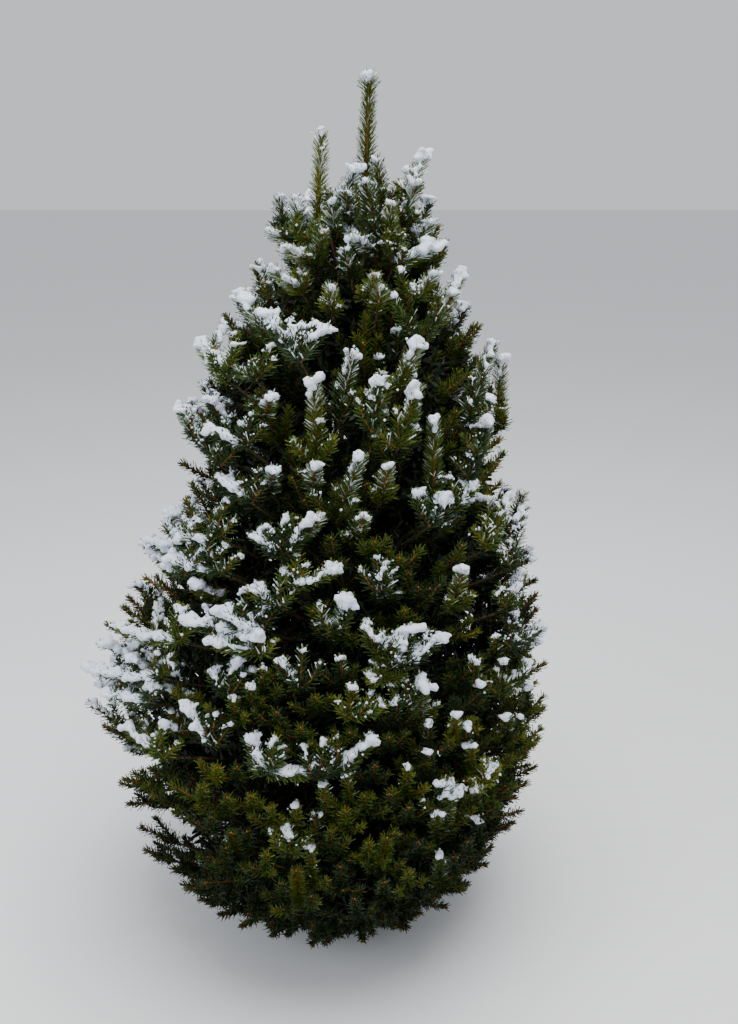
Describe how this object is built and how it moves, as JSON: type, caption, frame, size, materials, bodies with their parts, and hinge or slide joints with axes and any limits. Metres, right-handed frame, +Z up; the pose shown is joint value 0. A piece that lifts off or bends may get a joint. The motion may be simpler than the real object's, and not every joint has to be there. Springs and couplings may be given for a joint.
{
  "type": "norway spruce tree",
  "caption": "Young Norway spruce, a dense cone of needled shoots round a tapering trunk, with snow lying on its shoots; cut flat at the ground.",
  "frame": {"origin": "middle of the trunk's flat cut at the ground", "axes": "+Z up, -Y towards the side that the picture shows, +X to the right of it"},
  "size_m": [0.9433, 0.876, 1.7],
  "materials": {
    "bark": "grey-brown scaly bark, matt",
    "twig_bark": "orange-brown young bark, grooved, matt",
    "needles": "dark to olive green needles, slightly waxy"
  },
  "bodies": {
    "root": {"trunk": "bark", "leader_needles": "needles", "bough_skirt_1": "twig_bark", "bough_skirt_2": "twig_bark", "bough_skirt_3": "twig_bark", "bough_skirt_4": "twig_bark", "bough_skirt_5": "twig_bark", "bough_low_1": "twig_bark", "bough_low_2": "twig_bark", "bough_low_3": "twig_bark", "bough_low_4": "twig_bark", "bough_low_5": "twig_bark", "bough_belly_1": "twig_bark", "bough_belly_2": "twig_bark", "bough_belly_3": "twig_bark", "bough_belly_4": "twig_bark", "bough_belly_5": "twig_bark", "bough_middle_1": "twig_bark", "bough_middle_2": "twig_bark", "bough_middle_3": "twig_bark", "bough_middle_4": "twig_bark", "bough_upper_1": "twig_bark", "bough_upper_2": "twig_bark", "bough_upper_3": "twig_bark", "bough_upper_4": "twig_bark", "foliage_skirt_1": "needles", "foliage_skirt_2": "needles", "foliage_skirt_3": "needles", "foliage_skirt_4": "needles", "foliage_skirt_5": "needles", "foliage_low_1": "needles", "foliage_low_2": "needles", "foliage_low_3": "needles", "foliage_low_4": "needles", "foliage_low_5": "needles", "foliage_belly_1": "needles", "foliage_belly_2": "needles", "foliage_belly_3": "needles", "foliage_belly_4": "needles", "foliage_belly_5": "needles", "foliage_middle_1": "needles", "foliage_middle_2": "needles", "foliage_middle_3": "needles", "foliage_middle_4": "needles", "foliage_upper_1": "needles", "foliage_upper_2": "needles", "foliage_upper_3": "needles", "foliage_upper_4": "needles", "foliage_shoulder_1": "needles", "foliage_shoulder_2": "needles", "foliage_shoulder_3": "needles", "foliage_shoulder_4": "needles", "foliage_high_1": "needles", "foliage_high_2": "needles", "foliage_high_3": "needles", "foliage_high_4": "needles", "foliage_whorl_1": "needles", "foliage_whorl_2": "needles", "foliage_whorl_3": "needles"}
  },
  "joints": []
}
